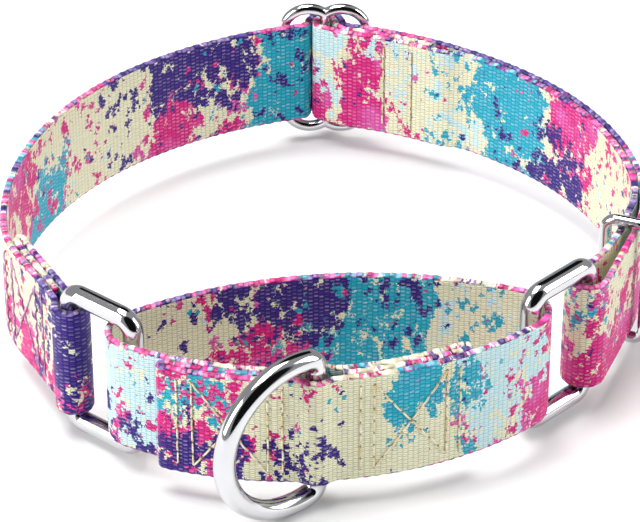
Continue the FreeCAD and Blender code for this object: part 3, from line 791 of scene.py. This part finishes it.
class Webbing(Material):
    """Printed, woven webbing: paint in ragged patches and droplets over a fine weave."""

    def __init__(self, name, zones, last, seed, selvedge=False):
        super().__init__(name)
        self.seed = seed
        self.along = self.attribute("along")
        self.across = self.attribute("across")
        self.weave()
        self.scatter(last)
        colour = self.stray_droplets(self.print_paints(zones, last, selvedge))
        if selvedge:
            colour = self.edge_yarns(colour)
        self.surface(colour)

    def wave(self, value, rate):
        """The size of a sine, from 0 to 1."""
        return self.math("ABSOLUTE", self.math("SINE", self.times(value, rate)))

    def luck(self, x, y, z=0.0):
        """One chance, 0 to 1, for each rib or each float."""
        return self.add("ShaderNodeTexWhiteNoise", Vector=self.point(x, y, z)).outputs["Value"]

    def spots(self, where, scale):
        """Round spots: each one's three chances, and the distance from its middle."""
        cells = self.add("ShaderNodeTexVoronoi", Vector=where, Scale=scale, Randomness=1.0)
        return self.parts(cells.outputs["Color"]), cells.outputs["Distance"]

    def weave(self):
        """Short warp floats over crosswise ribs, each rib's floats half a step off the last."""
        rib_place = self.over(self.along, RIB * MM)
        self.rib_number = self.math("FLOOR", rib_place)
        half_step = self.times(self.math("MODULO", self.rib_number, 2.0), 0.5)
        self.warp_place = self.plus(self.over(self.across, WARP * MM), half_step)
        rib = self.wave(rib_place, math.pi)
        warp = self.wave(self.warp_place, math.pi)
        self.float_height = self.times(self.math("POWER", rib, RIB_POWER),
                                       self.math("POWER", warp, WARP_POWER))

        # every second row is painted a little darker, a painted shade as if it stood lower, and some
        # floats get painted glints, stronger on some than on others
        self.pair = self.wave(self.warp_place, math.pi / 2)
        row = self.math("FLOOR", self.times(self.warp_place, 0.5))
        crest = self.times(self.spread(self.pair, 0.65, 0.98), self.spread(rib, 0.15, 0.7))
        luck = self.luck(self.rib_number, row, self.seed)
        # painted highlight: how far a float's colour is mixed towards near white
        self.painted_glint = self.times(crest, self.spread(luck, 0.2, 1.0, 0.03, PAINTED_GLINT_MOST))

    def scatter(self, last):
        """The random fields that the paints share. Each rib and warp yarn shifts the print."""
        rib_luck = self.luck(self.rib_number, self.seed)
        slip = self.times(self.minus(rib_luck, 0.5), RIB_SLIP)
        yarn = self.times(self.math("FLOOR", self.warp_place), WARP_BEAT)
        self.printed = self.plus(self.along, self.times(self.math("SINE", yarn), WARP_DRIFT))
        self.rise = self.plus(self.times(self.across, LEAN), slip)
        self.where = self.point(self.printed, self.rise, self.seed * 0.37)

        ragged = self.add("ShaderNodeTexNoise", Vector=self.where, Scale=FINE, Detail=2.0,
                          Roughness=0.6)
        shaken = self.vector_math("SCALE", ragged.outputs["Color"])
        self.put(shaken.inputs["Scale"], JAG)
        jagged = self.vector_math("ADD", self.where, shaken.outputs[0]).outputs[0]
        # a spot fades from its middle outwards, so the bigger its chance the bigger it is
        self.drops, distance = self.spots(jagged, DROPS)
        self.drop_edge = self.spread(distance, 0.0, SPOT_REACH, 0.0, SPOT_LIMIT)
        self.specks, distance = self.spots(jagged, FINE)
        self.speck_edge = self.spread(distance, 0.0, SPOT_REACH, 0.0, SPOT_LIMIT)

        self.coarse = self.noise(self.where, 120.0, 2.0, 0.5)
        uneven = self.minus(self.coarse, 0.5)
        self.run = self.plus(self.over(self.printed, last * MM), self.times(uneven, WANDER / last))
        wavy = self.plus(self.across, self.times(uneven, WAVE))
        self.upper = self.spread(wavy, -MIDDLE, MIDDLE)

    def paint_amount(self, patches, last):
        """How much of one paint lies at a place: the most that any of its patches gives."""
        amount = 0.0
        for first in range(0, len(patches), RAMP_PATCHES):
            stops = patch_stops(patches[first:first + RAMP_PATCHES], last)
            edges = self.parts(self.ramp(self.run, stops))
            here = self.spread(self.upper, 0.0, 1.0, edges[0], edges[1])
            amount = self.math("MAXIMUM", amount, here)
        return amount

    def print_paints(self, zones, last, selvedge):
        """The paints, one over another. Each lies where its amount with the random fields
        added to it passes one half."""
        colour = CREAM
        for number, (name, (paint, shift, scale)) in enumerate(PAINTS.items()):
            amount = self.paint_amount(zones[name], last)
            if selvedge:
                amount = self.plus(amount, EDGE_PAINT[name])
            spot = self.point(self.plus(self.printed, shift), self.rise, self.seed + shift)
            uneven = self.minus(self.noise(spot, scale, 2.0, 0.5), 0.5)
            drop = self.minus(self.drops[number % 3], self.drop_edge)
            speck = self.minus(self.specks[(number + 1) % 3], self.speck_edge)
            spotted = self.plus(self.times(drop, DROP_SHARE), self.times(speck, SPECK_SHARE))
            level = self.plus(self.plus(self.times(uneven, RAGGED_SHARE), spotted),
                              self.minus(amount, 0.5))
            if name == "magenta":
                paint = self.mix(self.spread(self.coarse, 0.5, 0.68, 0.0, 0.7), MAGENTA, ORCHID)
            colour = self.mix(self.spread(level, -0.02, 0.03), colour, paint)
        return colour

    def stray_droplets(self, colour):
        """Stray droplets of the three dark paints and cream, in loose clusters."""
        chances, distance = self.spots(self.where, STRAYS)
        clusters = self.noise(self.where, 75.0, 1.0, 0.5)
        small = self.math("LESS_THAN", distance, self.spread(clusters, 0.46, 0.72, 0.0, 0.36))
        chosen = self.math("GREATER_THAN", chances[0], 0.5)
        stops = [(0.0, MAGENTA), (0.36, PURPLE), (0.6, TURQUOISE), (0.8, CREAM)]
        paint = self.ramp(chances[1], stops, "CONSTANT")
        return self.mix(self.times(small, chosen), colour, paint)

    def edge_yarns(self, colour):
        """Twisted, a little frayed yarns in place of the weave."""
        strand = self.plus(self.over(self.along, TWIST_ALONG), self.over(self.across, TWIST_ACROSS))
        twist = self.math("SINE", self.times(strand, math.tau))
        drawn_out = self.point(self.times(self.along, 0.3), self.across, self.seed)
        fray = self.noise(drawn_out, FINE, 2.0, 0.5)
        self.float_height = self.plus(self.times(twist, 0.4), self.times(fray, 0.6))
        share = self.times(self.spread(twist, -0.6, 1.0), self.spread(fray, 0.35, 0.65, 0.02, 0.3))
        return self.mix(share, colour, LILAC)

    def surface(self, colour):
        """Painted shade in the grooves and on every second row, painted glints on some floats, and a soft
        sheen.
        """
        worn = self.noise(self.point(self.along, self.across, self.seed + 3.0), FINE, 3.0, 0.6)
        # painted shade: darker where the weave lies low, and on every second row
        shade = self.spread(self.float_height, 0.0, 0.85, 0.5, 1.08)
        shade = self.times(shade, self.spread(self.pair, 0.0, 1.0, 0.86, 1.06))
        # the worn noise only varies the tone at random
        shade = self.times(shade, self.spread(worn, 0.3, 0.7, 0.92, 1.06))
        self.look("Base Color", self.mix(self.painted_glint, self.darken(colour, shade), PAINTED_GLINT_WHITE))
        self.look("Roughness", self.spread(worn, 0.3, 0.7, 0.34, 0.5))
        self.bump(self.float_height, 1.0, RELIEF)
        self.look("Specular IOR Level", 0.22)
        self.look("Sheen Weight", 0.04)
        self.look("Sheen Roughness", 0.4)


# ---------------------------------------------------------------- thread and chrome

# the colour of the painted shade at a stitch's ends, where it dips into the webbing
HOLE_SHADE = linear(96, 62, 44)
DIP_STARTS = 0.34           # how far from a stitch's middle it starts to dip, in stitches
DIP_ENDS = 0.48


def thread_material(name, dark, light):
    """Plied thread, with painted shade where a stitch dips into its hole."""
    n = Material(name)
    where = n.place()
    plies = n.add("ShaderNodeTexWave", Vector=where, Scale=FINE, Distortion=1.5, Detail=2.0)
    plies.bands_direction = "DIAGONAL"
    tone = n.noise(where, 400.0, 2.0, 0.5)
    colour = n.mix(n.spread(tone, 0.35, 0.65), dark, light)
    middle = n.minus(n.over(n.attribute("travel"), STITCH_PITCH * MM), 0.5)
    # painted shade towards a stitch's two ends
    dip = n.spread(n.math("ABSOLUTE", middle), DIP_STARTS, DIP_ENDS, 0.0, 0.8)
    colour = n.mix(dip, colour, HOLE_SHADE)
    n.look("Base Color", n.darken(colour, n.spread(plies.outputs["Fac"], 0.0, 1.0, 1.0, 0.75)))
    n.look("Roughness", n.spread(tone, 0.3, 0.7, 0.35, 0.5))
    n.bump(plies.outputs["Fac"], 0.5, 0.00008)
    n.look("Sheen Weight", 0.2)
    return n.material


def chrome_material():
    """Polished plating with a faint waviness and fine handling marks."""
    n = Material("polished_chrome")
    where = n.place()
    marks = n.noise(where, 2600.0, 5.0, 0.7)
    waves = n.noise(where, 120.0, 2.0, 0.5)
    n.look("Base Color", n.mix(waves, linear(194, 195, 198), linear(212, 212, 215)))
    n.look("Metallic", 1.0)
    n.look("Roughness", n.spread(marks, 0.35, 0.75, 0.05, 0.13))
    n.bump(waves, 0.2, 0.0001)
    return n.material


# ---------------------------------------------------------------- put the collar together

neck = webbing_piece(
    "neck_strap_webbing", NECK_PEGS,
    ["ring_end_needle_thread", "ring_end_bobbin_thread", "adjuster_end_needle_thread"],
    [Webbing("neck_webbing_inner_face", NECK_INNER, NECK_LENGTH, 1.0).material,
     Webbing("neck_webbing_outer_face", NECK_OUTER, NECK_LENGTH, 2.0).material,
     Webbing("neck_webbing_selvedge", NECK_OUTER, NECK_LENGTH, 2.0, selvedge=True).material])
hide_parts("neck_webbing")
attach(neck, "neck_strap")

loop = webbing_piece(
    "control_loop_webbing", LOOP_PEGS,
    ["left_box_needle_thread", "left_box_bobbin_thread",
     "right_box_needle_thread", "right_box_bobbin_thread"],
    [Webbing("loop_webbing_outer_face", LOOP_OUTER, LOOP_LENGTH, 5.0).material,
     Webbing("loop_webbing_inner_face", LOOP_INNER, LOOP_LENGTH, 6.0).material,
     Webbing("loop_webbing_selvedge", LOOP_OUTER, LOOP_LENGTH, 5.0, selvedge=True).material])
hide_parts("control_webbing")
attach(loop, "control_loop")

gold_thread = thread_material("gold_thread", linear(226, 204, 146), linear(252, 246, 220))
violet_thread = thread_material("violet_thread", linear(150, 70, 150), linear(226, 178, 214))
for node in SEAMS:
    seam = thread_piece(node, violet_thread if "ring_end" in node else gold_thread)
    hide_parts(node)
    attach(seam, "control_loop" if "box" in node else "neck_strap")

chrome = chrome_material()
for node in ("left_ring", "right_ring", "d_ring", "keeper", "adjuster_slide"):
    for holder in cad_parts[node].material_slots:
        holder.material = chrome


# ---------------------------------------------------------------- studio

FLOOR = 6.0                 # half the floor's side, metres
CURTAIN_EDGE = 6.0          # degrees over which a curtain fades into the wall
CURTAIN_SHADE = 0.02
ROOM_LIGHT = 0.4
# Each light is (name, place, where it aims, its two sides, power in watts).
SOFTBOXES = [
    ("overhead", (-0.25, 0.1, 1.2), (0, 0, 0), (0.9, 0.7), 18.5),
    ("left_wall", (-1.1, -0.5, 0.55), (0, 0, 0.02), (0.6, 0.9), 13.0),
    ("right_wall", (1.1, -0.1, 0.6), (0, 0, 0.02), (0.5, 0.9), 8.5),
]
# A white room with dark curtains: each is (towards, half width in degrees).
CURTAINS = [((0.22, -0.80, 0.50), 38.0), ((0.1, 0.60, 0.62), 17.0)]

floor_mesh = bpy.data.meshes.new("floor")
floor_corners = [(-FLOOR, -FLOOR, 0), (FLOOR, -FLOOR, 0), (FLOOR, FLOOR, 0), (-FLOOR, FLOOR, 0)]
floor_mesh.from_pydata(floor_corners, [], [(0, 1, 2, 3)])
pale = Material("pale_floor")
grain = pale.noise(pale.place(), 30.0, 2.0, 0.5)
pale.look("Base Color", pale.mix(grain, (0.83, 0.83, 0.83, 1.0), (0.85, 0.85, 0.85, 1.0)))
pale.look("Roughness", 0.9)
pale.look("Specular IOR Level", 0.1)
floor_mesh.materials.append(pale.material)
floor = put_in_scene("floor", floor_mesh)

for name, place, aim, size, power in SOFTBOXES:
    light = bpy.data.lights.new(name, "AREA")
    light.shape = "RECTANGLE"
    light.size, light.size_y = size
    light.energy = power
    lamp = put_in_scene(name, light)
    lamp.location = place
    lamp.rotation_euler = (Vector(aim) - Vector(place)).to_track_quat("-Z", "Y").to_euler()

studio = bpy.data.worlds.new("studio")
studio.use_nodes = True
room = Nodes(studio.node_tree)
direction = room.add("ShaderNodeTexCoord").outputs["Generated"]
glow = 1.0
for towards, half_width in CURTAINS:
    facing = room.vector_math("DOT_PRODUCT", direction, Vector(towards).normalized())
    outer = math.cos(math.radians(half_width + CURTAIN_EDGE))
    inner = math.cos(math.radians(half_width))
    light_here = room.spread(facing.outputs["Value"], outer, inner, 1.0, CURTAIN_SHADE)
    glow = room.times(glow, light_here)
background = room.tree.nodes["Background"]
room.put(background.inputs["Color"], glow)
room.put(background.inputs["Strength"], ROOM_LIGHT)

ELEVATION = math.radians(34.3)
DISTANCE = 0.700
TARGET = Vector((-0.00119, -0.001253, 0.01595))
LENS = 187.8                # millimetres, on a sensor 36 mm wide
SENSOR = 36.0
camera_data = bpy.data.cameras.new("camera")
camera_data.sensor_width = SENSOR
camera_data.lens = LENS
camera = put_in_scene("camera", camera_data)
camera.location = TARGET + Vector((0, -math.cos(ELEVATION), math.sin(ELEVATION))) * DISTANCE
camera.rotation_euler = (math.pi / 2 - ELEVATION, 0, 0)

scene = bpy.context.scene
scene.world = studio
scene.view_settings.view_transform = "Standard"
scene.camera = camera
